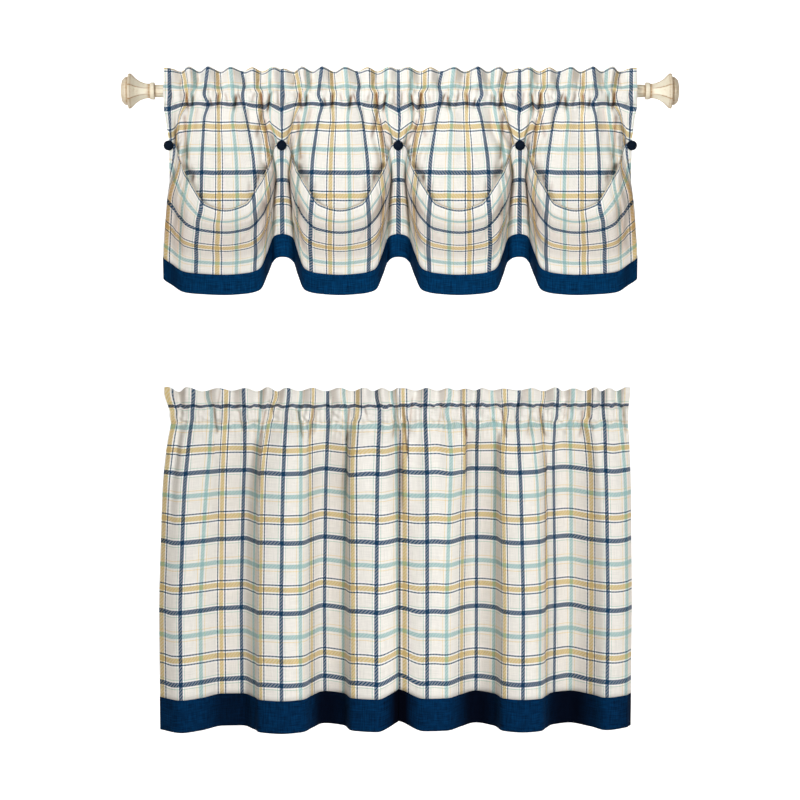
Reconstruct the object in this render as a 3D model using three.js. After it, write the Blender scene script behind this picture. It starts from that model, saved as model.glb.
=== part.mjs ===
// Kitchen curtain set: a button-up swag valance on its rod, and a pair of cafe tiers below it.
// Millimetres, +Z up. The origin is on the rod's axis at mid-length, and the room side faces -Y.
import * as THREE from "three";

// Driving sizes
const CLOTH_THICKNESS = 1.8;
const BAND_THICKNESS = 2.4;
const PIECE_GAP = 0.3;
const SEAM_GAP = 0.5;

const ROD = { radius: 11, length: 846, sides: 24 };
const FINIAL_SIDES = 8;
const BUTTON_SIDES = 20;

// Valance: the buttons divide its width into four bays.
const VALANCE_HALF_WIDTH = 407;
const BUTTON_X = [-397, -203, -3, 206, 398];
const BUTTON_RADIUS = 8.7;
const BUTTON_Z = -92;

// Widths of the heading's gathers from the left end to the middle, repeated in mirror order.
// Each bay takes half of this run, so a column of the cloth lies under every button.
const GATHER_WIDTHS = [37, 29, 30, 39, 50, 40, 38, 39, 37, 31, 40];
const VALANCE_GATHER_COLUMNS = 4;

// Cafe tiers, hung below the valance as a pair.
const TIER_TOP_Z = -520;
const TIER_GATHERS = 11;
const TIER_GATHER_COLUMNS = 3;

const COLOURS = { cloth: 0xf2ece0, band: 0x103862, button: 0x081a33, wood: 0xece3cc };

// A table is a list of column names and short rows of numbers.
function table(columns, rows) {
  return rows.map((row) => Object.fromEntries(columns.map((column, i) => [column, row[i]])));
}

// Turned finial: distance along the axis from the rod's end, and radius.
const FINIAL_PROFILE = table(
  ["along", "radius"],
  [
    [0, 14.8],
    [7, 14.8],
    [9.5, 12.8],
    [17, 13.4],
    [25, 16.4],
    [33, 21.8],
    [40, 29.2],
    [43, 30.5],
    [45.5, 28.5],
    [46, 24],
    [51, 23.6],
    [56, 18.5],
  ],
);
const FINIAL_LENGTH = 58.5;

// Covered button: radius and height above its back.
const BUTTON_PROFILE = table(
  ["radius", "height"],
  [
    [0.8, 0],
    [0.97, 0.9],
    [1, 2.4],
    [0.88, 4.4],
    [0.56, 6],
  ],
);
const BUTTON_CROWN = 6.7;

// Section of a gathered heading round its rod pocket, from the turned-in hem behind, over the ruffle,
// to the seam under the pocket in front. The ruffle's wave swings both ways where lean is 0, and only
// outwards where it is 1 (behind) or -1 (in front). The bump scallops the top edge.
const HEADING_COLUMNS = ["y", "z", "ruffle", "lean", "bump"];
const VALANCE_HEADING = table(HEADING_COLUMNS, [
  [-2, -26, 3, 0, 0],
  [15, -2, 3, 1, 0],
  [8, 11, 2, 1, 0],
  [3.5, 18, 4, 0, 0],
  [3.5, 32, 7, 0, 3],
  [0, 38, 7, 0, 4],
  [-3.5, 32, 7, 0, 3],
  [-3.5, 18, 4, 0, 0],
  [-8, 11, 3, -1, 0],
  [-15, -2, 4, -1, 0],
  [-9, -23, 3, 0, 0],
]);
const TIER_HEADING = table(HEADING_COLUMNS, [
  [2, -59, 3, 0, 0],
  [10, -51, 3, 1, 0],
  [10, -36, 3, 1, 0],
  [3.5, -29, 4, 0, 0],
  [3.5, -7, 6, 0, 3],
  [0, 0, 6, 0, 4],
  [-3.5, -7, 6, 0, 3],
  [-3.5, -29, 4, 0, 0],
  [-10, -36, 3, -1, 0],
  [-10, -51, 3, -1, 0],
  [-5, -57, 3, 0, 0],
]);

// Places across half a bay where the valance's lower rows are set: the flute under the button, the
// valley beside it, the swag's shoulder and the middle. Shares of the bay's cut width and of its
// hung width. At the two ends of the valance the edge turns back instead of fluting.
const STATIONS = table(
  ["cut", "hung", "hungAtEnd"],
  [
    [0, 0, 0],
    [0.125, 0.115, -0.06],
    [0.29, 0.19, 0.06],
    [0.5, 0.5, 0.5],
  ],
);

// Rows of the valance below its pocket: the pouf, the hidden tuck down and up again, the tuck's edge
// that shows as a U, and the swag in front. Depth y and height z are given at the four stations.
// pull gathers the bay's cloth in beside the buttons, and open frees the two outer ends.
const DRAPE_COLUMNS = ["name", "ruffle", "pull", "open", "y0", "y1", "y2", "y3", "z0", "z1", "z2", "z3"];
const VALANCE_DRAPE = table(DRAPE_COLUMNS, [
  ["pouf top", 5, 0.1, 0, -15, -15, -21, -24, -46, -46, -46, -46],
  ["pouf", 3, 0.4, 0, -20, -18, -31, -34, -72, -78, -82, -83],
  ["pouf crown", 1, 0.6, 0, -23, -18, -35, -41, -94, -108, -122, -126],
  ["tuck down", 0, 0.75, 0, -21, -14, -32, -41, -150, -162, -182, -192],
  ["tuck end behind", 0, 0.75, 0, -16, -10, -27, -36, -203, -214, -238, -250],
  ["tuck end", 0, 0.75, 0, -23, -17, -35, -44, -204, -215, -239, -251],
  ["tuck up", 0, 0.8, 0, -26, -21, -40, -48, -140, -154, -186, -216],
  ["edge", 0, 0.85, 0, -30, -28, -47, -52, -87, -124, -175, -200],
  ["edge front", 0, 0.9, 0, -35, -32, -51, -57, -96, -132, -182, -207],
  ["swag top", 0, 1, 0.6, -38, -26, -56, -65, -140, -164, -212, -233],
  ["swag", 0, 1, 0.9, -38, -23, -60, -72, -194, -208, -254, -270],
  ["band top", 0, 1, 1, -33, -14, -60, -76, -244, -257, -300, -308],
]);
const VALANCE_BAND = table(DRAPE_COLUMNS, [
  ["band", 0, 1, 1, -32, -11, -60, -78, -264, -277, -320, -327],
  ["hem", 0, 1, 1, -31, -9, -60, -79, -284, -296, -339, -346],
]);

// Folds of the tiers at the hem: place across the cut cloth, then where it hangs. topX gives the
// ends of the heading, and each side edge falls straight from there to the hem.
const FOLD_COLUMNS = ["cut", "x", "y"];
const TIERS = {
  left: {
    topX: [-408, -1],
    folds: table(FOLD_COLUMNS, [
      [0, -430, 2],
      [57, -387, -38],
      [160, -305, 11],
      [294, -217, -62],
      [424, -132, 25],
      [533, -52, -41],
      [597, 3, 7],
    ]),
  },
  right: {
    topX: [1, 403],
    folds: table(FOLD_COLUMNS, [
      [0, -3, -12],
      [59, 57, -35],
      [178, 145, 27],
      [288, 216, -45],
      [415, 291, 38],
      [512, 359, -28],
      [585, 413, 8],
    ]),
  },
};

// How a tier falls below its top edge: the gathers die out as the folds grow.
const TIER_DROP = table(
  ["drop", "ruffle", "fold", "spread", "lead"],
  [
    [80, 4, 0.3, 0.3, -7],
    [115, 2, 0.62, 0.6, -6],
    [165, 0.6, 0.78, 0.85, -3],
    [270, 0, 0.83, 1, 0],
    [410, 0, 0.9, 1, 0],
    [548, 0, 0.99, 1, 0],
  ],
);
const TIER_BAND = table(
  ["drop", "ruffle", "fold", "spread", "lead"],
  [[607, 0, 1, 1, 0]],
);

// Smooth curve through a table's points that never overshoots them.
function curve(rows, at, value) {
  const xs = rows.map((row) => row[at]);
  const ys = rows.map((row) => row[value]);
  const slopes = xs.slice(1).map((x, i) => (ys[i + 1] - ys[i]) / (x - xs[i]));
  const tangents = xs.map((x, i) => {
    if (i === 0) return slopes[0];
    if (i === xs.length - 1) return slopes[i - 1];
    const [before, after] = [slopes[i - 1], slopes[i]];
    return before * after <= 0 ? 0 : (2 * before * after) / (before + after);
  });
  return (x) => {
    let i = 0;
    while (i < xs.length - 2 && x > xs[i + 1]) i += 1;
    const span = xs[i + 1] - xs[i];
    const t = THREE.MathUtils.clamp((x - xs[i]) / span, 0, 1);
    const rise = t * t * (3 - 2 * t);
    const start = t * (1 - t) * (1 - t) * tangents[i];
    const end = t * t * (1 - t) * tangents[i + 1];
    return ys[i] + rise * (ys[i + 1] - ys[i]) + span * (start - end);
  };
}

const mix = THREE.MathUtils.lerp;

// Middle surface of a cloth as rows of points, with its normals, from a point for each row and column.
function gridOf(rowCount, columnCount, point) {
  const points = Array.from({ length: rowCount }, (_, r) =>
    Array.from({ length: columnCount }, (__, c) => point(r, c)),
  );
  const normals = points.map((row, r) =>
    row.map((_, c) => {
      const along = row[Math.min(c + 1, columnCount - 1)].clone().sub(row[Math.max(c - 1, 0)]);
      const below = points[Math.min(r + 1, rowCount - 1)][c];
      const above = points[Math.max(r - 1, 0)][c];
      return along.cross(below.clone().sub(above)).normalize();
    }),
  );
  return { points, normals };
}

// Closed sheet over some of a grid's rows, drawn back by half a gap at an end where another piece joins.
function sheet(grid, firstRow, lastRow, thickness, joins) {
  const columns = grid.points[0].length;
  const rows = lastRow - firstRow + 1;
  const middle = grid.points.slice(firstRow, lastRow + 1).map((row) => row.map((p) => p.clone()));
  const drawBack = (row, towards) =>
    row.forEach((p, c) => p.add(towards[c].clone().sub(p).setLength(SEAM_GAP / 2)));
  if (joins.first) drawBack(middle[0], middle[1]);
  if (joins.last) drawBack(middle[rows - 1], middle[rows - 2]);

  const positions = [];
  for (const side of [1, -1])
    middle.forEach((row, r) =>
      row.forEach((p, c) => {
        const offset = grid.normals[firstRow + r][c].clone().multiplyScalar((side * thickness) / 2);
        positions.push(...p.clone().add(offset).toArray());
      }),
    );

  const front = (r, c) => r * columns + c;
  const back = (r, c) => rows * columns + r * columns + c;
  const faces = [];
  const quad = (a, b, c, d) => faces.push(a, b, c, a, c, d);
  for (let r = 0; r < rows - 1; r += 1) {
    for (let c = 0; c < columns - 1; c += 1) {
      quad(front(r, c), front(r, c + 1), front(r + 1, c + 1), front(r + 1, c));
      quad(back(r, c), back(r + 1, c), back(r + 1, c + 1), back(r, c + 1));
    }
    const end = columns - 1;
    quad(front(r, 0), front(r + 1, 0), back(r + 1, 0), back(r, 0));
    quad(front(r, end), back(r, end), back(r + 1, end), front(r + 1, end));
  }
  for (let c = 0; c < columns - 1; c += 1) {
    const end = rows - 1;
    quad(front(0, c), back(0, c), back(0, c + 1), front(0, c + 1));
    quad(front(end, c), front(end, c + 1), back(end, c + 1), back(end, c));
  }
  const geometry = new THREE.BufferGeometry();
  geometry.setAttribute("position", new THREE.Float32BufferAttribute(positions, 3));
  geometry.setIndex(faces);
  return geometry;
}

// Turned piece along its own +Y, closed on the axis at both ends.
function turned(profile, tip, sides) {
  const start = new THREE.Vector2(0, profile[0].y);
  return new THREE.LatheGeometry([start, ...profile, new THREE.Vector2(0, tip)], sides);
}

const curtain = new THREE.Group();

function addPiece(name, geometry, colour, roughness) {
  const material = new THREE.MeshStandardMaterial({ color: colour, roughness, metalness: 0 });
  const piece = new THREE.Mesh(geometry, material);
  piece.name = name;
  curtain.add(piece);
  return piece;
}

// Rod and finials
function addRod() {
  const geometry = new THREE.CylinderGeometry(ROD.radius, ROD.radius, ROD.length, ROD.sides);
  addPiece("rod", geometry, COLOURS.wood, 0.55).rotation.z = Math.PI / 2;
  const profile = FINIAL_PROFILE.map((row) => new THREE.Vector2(row.radius, row.along));
  for (const [name, side] of [["finial_left", -1], ["finial_right", 1]]) {
    const finial = addPiece(name, turned(profile, FINIAL_LENGTH, FINIAL_SIDES), COLOURS.wood, 0.55);
    finial.rotation.z = (-side * Math.PI) / 2;
    finial.position.x = side * (ROD.length / 2 + PIECE_GAP);
  }
}

// Valance
const BAYS = BUTTON_X.length - 1;
const HALF_GATHERS = GATHER_WIDTHS.length;
const VALANCE_COLUMNS = 2 * HALF_GATHERS * VALANCE_GATHER_COLUMNS + 1;

// Share of the valance's width at a number of gathers from its left end.
function gatheredShare(gathers) {
  const fromEnd = Math.min(gathers, 2 * HALF_GATHERS - gathers);
  const whole = Math.floor(fromEnd);
  const total = GATHER_WIDTHS.reduce((sum, width) => sum + width, 0);
  const done = GATHER_WIDTHS.slice(0, whole).reduce((sum, width) => sum + width, 0);
  const part = (fromEnd - whole) * (GATHER_WIDTHS[whole] ?? 0);
  const share = (done + part) / total / 2;
  return gathers <= HALF_GATHERS ? share : 1 - share;
}

// A column of the valance: its bay, its place across that bay, and its phase in the gathers.
function valanceColumn(index) {
  const gathers = index / VALANCE_GATHER_COLUMNS;
  const across = gatheredShare(gathers);
  const bay = Math.min(Math.floor(across * BAYS), BAYS - 1);
  const inBay = across * BAYS - bay;
  const mirrored = inBay > 0.5;
  const atEnd = (bay === 0 && !mirrored) || (bay === BAYS - 1 && mirrored);
  return { across, bay, inBay, mirrored, atEnd, wave: Math.cos(2 * Math.PI * gathers) };
}

const hungShare = curve(STATIONS, "cut", "hung");
const hungShareAtEnd = curve(STATIONS, "cut", "hungAtEnd");

// Depth or height of a drape row at a place across half a bay. At the valance's ends the open rows
// hang lower, and their edge turns back behind the swag.
const END_FALL = [0.4, 0.5, 0.6, 0];
const END_EDGE_DEPTH = 0.6;
const END_SIDE_LEAD = 0.4;
function stationValue(row, axis, half, atEnd) {
  const values = [0, 1, 2, 3].map((i) => row[axis + i]);
  const [, valley, shoulder, middle] = values;
  const atEdge =
    axis === "y"
      ? [valley * END_EDGE_DEPTH, mix(valley, shoulder, END_SIDE_LEAD), shoulder, middle]
      : values.map((value, i) => mix(value, middle, END_FALL[i]));
  const open = atEnd ? row.open : 0;
  const rows = STATIONS.map(({ cut }, i) => ({ cut, value: mix(values[i], atEdge[i], open) }));
  return curve(rows, "cut", "value")(half);
}

function drapePoint(row, column) {
  const half = column.mirrored ? 1 - column.inBay : column.inBay;
  const pulled = mix(hungShare(half), hungShareAtEnd(half), column.atEnd ? row.open : 0);
  const share = mix(half, pulled, row.pull);
  const evenX = mix(-VALANCE_HALF_WIDTH, VALANCE_HALF_WIDTH, column.across);
  const [left, right] = [BUTTON_X[column.bay], BUTTON_X[column.bay + 1]];
  const bayX = column.mirrored ? right - share * (right - left) : left + share * (right - left);
  const y = stationValue(row, "y", half, column.atEnd) - row.ruffle * column.wave;
  return new THREE.Vector3(mix(evenX, bayX, row.pull), y, stationValue(row, "z", half, column.atEnd));
}

function headingPoint(row, x, wave, topZ) {
  const y = row.y + row.ruffle * (row.lean - wave);
  return new THREE.Vector3(x, y, topZ + row.z + row.bump * wave);
}

function addValance() {
  const drape = [...VALANCE_DRAPE, ...VALANCE_BAND];
  const headingRows = VALANCE_HEADING.length;
  const grid = gridOf(headingRows + drape.length, VALANCE_COLUMNS, (r, c) => {
    const column = valanceColumn(c);
    const x = mix(-VALANCE_HALF_WIDTH, VALANCE_HALF_WIDTH, column.across);
    if (r < headingRows) return headingPoint(VALANCE_HEADING[r], x, column.wave, 0);
    return drapePoint(drape[r - headingRows], column);
  });
  const bandTop = headingRows + VALANCE_DRAPE.length - 1;
  const bandEnd = bandTop + VALANCE_BAND.length;
  const cloth = sheet(grid, 0, bandTop, CLOTH_THICKNESS, { last: true });
  const band = sheet(grid, bandTop, bandEnd, BAND_THICKNESS, { first: true });
  addPiece("valance_cloth", cloth, COLOURS.cloth, 0.9);
  addPiece("valance_band", band, COLOURS.band, 0.85);
}

// Covered buttons on the tuck's edge
function addButtons() {
  const profile = BUTTON_PROFILE.map((row) => new THREE.Vector2(row.radius * BUTTON_RADIUS, row.height));
  const edgeFront = VALANCE_DRAPE.find((row) => row.name === "edge front");
  const seat = edgeFront.y0 - CLOTH_THICKNESS / 2 - 2 * PIECE_GAP;
  BUTTON_X.forEach((x, i) => {
    const geometry = turned(profile, BUTTON_CROWN, BUTTON_SIDES);
    const button = addPiece(`button_${i + 1}`, geometry, COLOURS.button, 0.8);
    button.rotation.z = Math.PI;
    button.position.set(x, seat, BUTTON_Z);
  });
}

// Cafe tiers
function addTier(side) {
  const { topX, folds } = TIERS[side];
  const columns = TIER_GATHERS * TIER_GATHER_COLUMNS + 1;
  const foldX = curve(folds, "cut", "x");
  const foldY = curve(folds, "cut", "y");
  const [firstFold, lastFold] = [folds[0], folds[folds.length - 1]];
  const length = TIER_BAND[TIER_BAND.length - 1].drop;
  const falls = [...TIER_DROP, ...TIER_BAND];
  const headingRows = TIER_HEADING.length;
  const grid = gridOf(headingRows + falls.length, columns, (r, c) => {
    const across = c / (columns - 1);
    const wave = Math.cos((2 * Math.PI * c) / TIER_GATHER_COLUMNS);
    if (r < headingRows) {
      const x = mix(topX[0], topX[1], across);
      return headingPoint(TIER_HEADING[r], x, wave, TIER_TOP_Z);
    }
    const row = falls[r - headingRows];
    const cut = across * lastFold.cut;
    const foldShare = (foldX(cut) - firstFold.x) / (lastFold.x - firstFold.x);
    const left = mix(topX[0], firstFold.x, row.drop / length);
    const right = mix(topX[1], lastFold.x, row.drop / length);
    const x = mix(left, right, mix(across, foldShare, row.spread));
    const y = row.fold * foldY(cut) + row.lead - row.ruffle * wave;
    return new THREE.Vector3(x, y, TIER_TOP_Z - row.drop);
  });
  const seam = headingRows - 1;
  const bandTop = seam + TIER_DROP.length;
  const bandEnd = bandTop + TIER_BAND.length;
  const heading = sheet(grid, 0, seam, CLOTH_THICKNESS, { last: true });
  const cloth = sheet(grid, seam, bandTop, CLOTH_THICKNESS, { first: true, last: true });
  const band = sheet(grid, bandTop, bandEnd, BAND_THICKNESS, { first: true });
  addPiece(`tier_${side}_heading`, heading, COLOURS.cloth, 0.9);
  addPiece(`tier_${side}_cloth`, cloth, COLOURS.cloth, 0.9);
  addPiece(`tier_${side}_band`, band, COLOURS.band, 0.85);
}

addRod();
addValance();
addButtons();
addTier("left");
addTier("right");

export default curtain;
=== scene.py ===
"""Kitchen curtain set: a button-up swag valance on its rod, and a pair of cafe tiers below it.

Sizes in the tables are millimetres, in the frame of the part: the origin is on the rod's axis at
mid-length, +X to the right, -Y to the room and +Z up. Meshes are made in metres.
"""
import math

import bpy
import numpy as np
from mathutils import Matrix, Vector


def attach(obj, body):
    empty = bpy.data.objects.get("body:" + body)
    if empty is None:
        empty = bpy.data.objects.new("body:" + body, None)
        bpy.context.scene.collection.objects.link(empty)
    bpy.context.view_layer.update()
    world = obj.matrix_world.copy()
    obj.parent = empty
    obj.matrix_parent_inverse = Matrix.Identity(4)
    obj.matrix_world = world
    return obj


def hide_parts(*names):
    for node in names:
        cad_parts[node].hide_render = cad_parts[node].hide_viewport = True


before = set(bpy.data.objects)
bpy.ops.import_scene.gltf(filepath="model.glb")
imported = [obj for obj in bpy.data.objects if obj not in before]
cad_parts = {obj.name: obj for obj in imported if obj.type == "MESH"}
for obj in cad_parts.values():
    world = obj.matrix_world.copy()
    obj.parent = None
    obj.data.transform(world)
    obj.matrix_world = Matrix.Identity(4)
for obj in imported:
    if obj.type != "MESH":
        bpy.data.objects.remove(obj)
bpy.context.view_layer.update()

MM = 0.001
TURN = 2 * np.pi

# Camera at the photograph's angle, in metres and degrees, with its lens and sensor in millimetres
CAMERA_TARGET = Vector((0, 0, -0.5385))
CAMERA_DISTANCE = 4.527
CAMERA_ELEVATION = 8
CAMERA_LENS = 116.1
CAMERA_SENSOR = 36

# Cloth and plaid, with the pitch of its twill and the share of hatching that the twill shows
CLOTH_THICKNESS = 1.0
BAND_THICKNESS = 2.0
PLAID_REPEAT = 119.5
TWILL_PITCH = 1.5
TWILL_ENDS = 4
HATCH = 0.27

# Rod and buttons
ROD_RADIUS = 11
ROD_LENGTH = 846
BUTTON_X = (-397, -203, -3, 206, 398)
BUTTON_Z = -92
BUTTON_RADIUS = 8.7

# Valance: where its buttons stand in repeats of the plaid, which is nine thirds of a repeat to a bay and a
# little more at the two ends. Left of the middle stripe the plaid is mirrored.
VALANCE_HALF_WIDTH = 407
VALANCE_COLUMNS = 455
VALANCE_REPEATS = (-6.1, -3, 0, 3, 6.1)
BAY_THIRDS = 9
END_THIRDS = 0.3
MIRROR_FROM = 15

# Tiers
TIER_TOP_Z = -520
TIER_COLUMNS = 381
TIER_SEED = {"left": 2, "right": 3}


def table(columns, rows):
    """Columns of a short table of rows, by name."""
    names = columns.split()
    return {name: np.array([row[i] for row in rows]) for i, name in enumerate(names)}


# Section of a gathered heading, from the turned-in hem behind, over the ruffle, to the seam in front.
# The bump scallops the top edge, and level says where the row's stripes are taken from: 0 at the top,
# 1 at the upper stitching, 2 on the pocket and 3 at the seam.
HEADING_COLUMNS = "y z ruffle bump level cut"
VALANCE_HEADING = table(HEADING_COLUMNS, (
    (-2, -26, 1, 0, 0, -92),
    (19, -2, 2, 0, 0, -63),
    (12, 9, 3, 0, 0, -48),
    (5, 18, 8, 0, 0, -36),
    (3.5, 31, 11, 4, 0, -21),
    (0, 37, 11, 5, 0, -12),
    (-3.5, 31, 11, 4, 0.2, -4),
    (-8, 18, 8.5, 0.5, 0.7, 12),
    (-16, 7, 4, 0, 1, 24),
    (-19.5, -5, 3, 0, 2, 43),
    (-20, -23, 2, 0, 3, 66),
))
TIER_HEADING = table(HEADING_COLUMNS, (
    (2, -59, 3, 0, 2, -75),
    (12, -51, 3, 0, 1.3, -62),
    (12, -36, 3, 0, 1, -47),
    (3.5, -29, 4, 0, 0.7, -36),
    (3.5, -7, 10, 4, 0, -9),
    (0, 0, 10, 4.5, 0, 0),
    (-3.5, -7, 10, 4, 0, 7),
    (-4.5, -29, 4, 0, 0.7, 29.5),
    (-8.5, -37, 3, 0, 1, 38.5),
    (-9.5, -49, 3, 0, 1.3, 52),
    (-9, -57, 3, 0, 2, 60.5),
))
HEADINGS = {"valance": VALANCE_HEADING, "tier": TIER_HEADING}

# Steps between the rows of both sections, then rows by number: the top fold, the seam, the first row below
# it, and the one where creases of the front end
HEADING_STEPS = (2, 2, 2, 2, 3, 4, 5, 5, 8, 10)
TOP_ROW = 5
SEAM_ROW = 10
DRAPE_ROW = 11
FRONT_END_ROW = 13

# Lines of stitching: row of the section, how far the gathers swing the plaid there, and shade painted along
# the stitching groove.
# On the valance its puckers turn a few times across each bay.
TIER_STITCH_ROW = 7
STITCHES = {
    "valance": ((8, 2.8, 0.06), (SEAM_ROW, -1.4, 0.22)),
    "tier": ((TIER_STITCH_ROW, 0, 0.3), (SEAM_ROW, 1.68, 0.06)),
}
STITCH_TURNS = 7
STITCH_REACH = 9

# Uneven waves along the stitching: rate, how far the phase drifts, rate of that drift, and start
# The first wave varies the shade painted along the stitching
STITCH_SHADE_SWAY = (3.1, 1, 1)
PUCKER_SWAY = (2, 2, 0.85, np.pi / 2)
WIGGLE_SWAY = (3.7, 2, 0.53)
SWING_SWAY = (0.83, 1.4, 0.31)

# Crinkles of cloth bunched on its rod: waves across and up, with a drift across and up, and where down the
# cut they start, are full, fade and end
CRINKLED = {"valance": (14, 30, 60, 84), "tier": (24, 36, 64, 100)}
CRINKLE_WAVES = ((0.42, 0.16, 2.1, 0.071, 0), (0.29, -0.22, 1.7, 0.113, 0.05))

# How deep creases may go in front of the rod and of the cloth behind, by row
CREASE_ROOM = table("row valance tier", (
    (6, 4.5, 4.5), (7, 4.5, 4), (8, 5, 9), (9, 7, 12), (10, 13, 7), (11, 20, 18),
))

# Where the stripes of one bay stand in the heading, as shares of the bay's width from its outer button.
# Cut places are thirds of the plaid's repeat.
STRIPE_SLOPE = 0.165
HEADING_STRIPES = table("cut top stitch pocket seam", (
    (-0.3, -0.05, -0.05, -0.05, -0.05),
    (0, 0, 0.005, 0.01, 0),
    (1, 0.119, 0.149, 0.163, 0.144),
    (2, 0.218, 0.228, 0.203, 0.207),
    (3, 0.345, 0.322, 0.315, 0.345),
    (4, 0.42, 0.43, 0.445, 0.436),
    (5, 0.545, 0.562, 0.564, 0.58),
    (6, 0.639, 0.663, 0.652, 0.661),
    (7, 0.78, 0.782, 0.81, 0.8),
    (8, 0.898, 0.893, 0.903, 0.896),
    (9, 1, 1, 1, 1),
))

# Turns of the ruffle across one bay, and how far the top thread line lies below the edge there
RUFFLE = table("place height", (
    (-0.05, 0.5), (0.02, 0.2), (0.1, -0.9), (0.17, 1), (0.26, -0.8), (0.345, 1), (0.45, -0.9),
    (0.54, 0.9), (0.65, -0.7), (0.735, 0.7), (0.82, -0.8), (0.925, 0.9), (1, -0.1),
))
TOP_LINE = table("place below", (
    (0, 3), (0.1, 0), (0.62, -0.6), (0.7, 2.6), (0.86, 3), (0.94, 0), (1, 2),
))

# Painted shade in creases and on one flank of each ruffle, from 0 to 1, and where down the cut the latter
# fades
CREASE_SHADE = {"valance": 0.09, "tier": 0.044, "swag": 0.018, "pouf": 0.045}
RUFFLE_SHADE = 0.18
RUFFLED = {"valance": (30, 8), "tier": (40, 20)}

# Creases drawn in by the stitching of one bay: place across, slant, half-width, depth, and the heights
# between which each one shows
CREASE_COLUMNS = "place slant width depth top bottom"
CREASES = table(CREASE_COLUMNS, (
    (0.158, -0.15, 3.2, 16, 2, -36),
    (0.206, 0.12, 2.4, 12, -2, -32),
    (0.372, -0.1, 2.2, 11, -8, -32),
    (0.43, 0.05, 2.8, 13, 0, -34),
    (0.51, -0.2, 2.4, 6, 0, -26),
    (0.585, 0.12, 3.2, 15, -4, -36),
    (0.632, -0.3, 2.2, 10, 0, -31),
    (0.74, 0.2, 2.4, 5, 0, -26),
    (0.818, -0.1, 3.4, 16, 2, -36),
    (0.882, 0.15, 2.8, 16, 0, -40),
    (0.245, 0.1, 2.4, 5, 26, -2),
    (0.345, -0.2, 2.6, 4, 20, -8),
    (0.43, -0.1, 2.2, 5, 32, -2),
    (0.672, -0.1, 2.4, 5, 28, -2),
    (0.782, 0.1, 2.2, 4, 26, -2),
    (0.9, 0, 2.4, 5, 26, -4),
    (0.1, 0.2, 2.6, 5, 30, 0),
    (0.02, 0.05, 3, 4, 4, -30),
    (0.97, -0.05, 3, 5, 4, -34),
    (0.15, -0.06, 4, 7, -36, -130),
    (0.8, 0.25, 3.5, 7, -26, -84),
    (0.865, -0.1, 4, 8, -44, -130),
    (0.24, 0.12, 3.5, 4, -24, -76),
    (0.7, -0.1, 3.5, 4, -24, -70),
))

# Slanting folds in the swag, by their place from the nearest button
SWAG_CREASES = table(CREASE_COLUMNS, (
    (0.15, -0.5, 4, 7, -150, -222),
    (0.24, -0.75, 4.5, 7, -190, -262),
    (0.19, -0.3, 4, 5, -225, -300),
))

# Small folds on the poufs that are drawn to the buttons, by their place from the nearest button
POUF_CREASES = table(CREASE_COLUMNS, (
    (0.085, -0.4, 2.6, 8, -98, -150),
    (0.125, -0.75, 2.8, 11, -92, -156),
    (0.17, -0.9, 3, 10, -104, -172),
    (0.145, -1.5, 2.6, 8, -108, -146),
    (0.11, 0.6, 2.6, 6, -56, -92),
))

# How far the plaid's rows sag below the pocket, across one bay
SEAM_SAG = table("place sag", (
    (-0.05, 9), (0, 9), (0.15, 0), (0.68, 0), (0.845, 7), (0.885, -2), (1, 12),
))

# Places across half a bay where the valance's lower rows are set, as shares of the bay's cut width,
# and where they hang at the two free ends, as shares of its hung width
POUF_STATION_CUT = (0, 0.062, 0.125, 0.18, 0.29, 0.37, 0.5)
STATION_CUT = (0, 0.034, 0.115, 0.175, 0.29, 0.37, 0.5)
STATION_AT_END = (0, -0.04, -0.06, 0.02, 0.14, 0.27, 0.5)

# Rows of the valance below its pocket. x1 and x2 are the shares of the bay's width at which the valley
# and the shoulder of a fold hang, and y and z the depth and height at button, valley, shoulder and middle.
# The fold's edge stands between valley and shoulder. bunch is the depth of the crumpled pleats, and dark
# the share of painted shade in the valleys.
DRAPE_COLUMNS = "name steps ruffle pull open soft x1 x2 y0 y1 y2 y3 z0 z1 z2 z3 bunch dark"
VALANCE_DRAPE = table(DRAPE_COLUMNS, (
    ("pouf top", 8, 4, 0.3, 0, 0, 0.11, 0.27, -17, -13, -22, -24, -46, -46, -46, -46, 2, 0.3),
    ("pouf", 6, 3.4, 0.7, 0, 0, 0.07, 0.235, -20, -11, -29, -32, -72, -78, -82, -83, 5, 0.8),
    ("pouf crown", 6, 1.6, 1, 0, 0, 0.05, 0.205, -23, -10, -35, -40, -94, -108, -122, -126, 8, 1),
    ("tuck down", 5, 0, 1, 0, 0, 0.05, 0.19, -19, -6, -31, -41, -150, -162, -182, -192, 8, 1),
    ("tuck end behind", 3, 0, 1, 0, 0, 0.06, 0.18, -12, 0, -24, -36, -203, -214, -238, -250, 8, 1),
    ("tuck end", 2, 0, 1, 0, 0, 0.06, 0.18, -18, -4, -30, -44, -204, -215, -239, -251, 8, 1),
    ("tuck up", 3, 0, 1, 0, 0, 0.07, 0.19, -24, -12, -38, -48, -140, -142, -176, -216, 7, 1),
    ("edge", 4, 0, 1, 0, 0, 0.085, 0.21, -30, -28, -47, -52, -87, -110, -160, -200, 6, 1),
    ("edge front", 3, 0, 1, 0, 0, 0.08, 0.2, -35, -31, -52, -58, -99, -123, -173, -212, 6, 1),
    ("swag top", 7, 0, 1, 0.6, 0, 0.06, 0.19, -38, -20, -56, -65, -140, -148, -206, -233, 6, 1),
    ("swag", 7, 0, 1, 0.9, 0.3, 0.085, 0.19, -38, -16, -60, -72, -194, -204, -255, -272, 3, 0.7),
    ("band top", 7, 0, 1, 1, 1, 0.1, 0.2, -36, -20, -60, -76, -244, -257, -302, -311, 0.5, 0.15),
    ("band", 6, 0, 1, 1, 1, 0.1, 0.2, -35, -18, -60, -78, -264, -277, -321, -329, 0, 0),
    ("hem", 6, 0, 1, 1, 1, 0.1, 0.2, -34, -16, -60, -79, -284, -297, -339, -346, 0, 0),
))
VALANCE_ROW = {name: DRAPE_ROW + i for i, name in enumerate(VALANCE_DRAPE["name"])}

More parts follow.
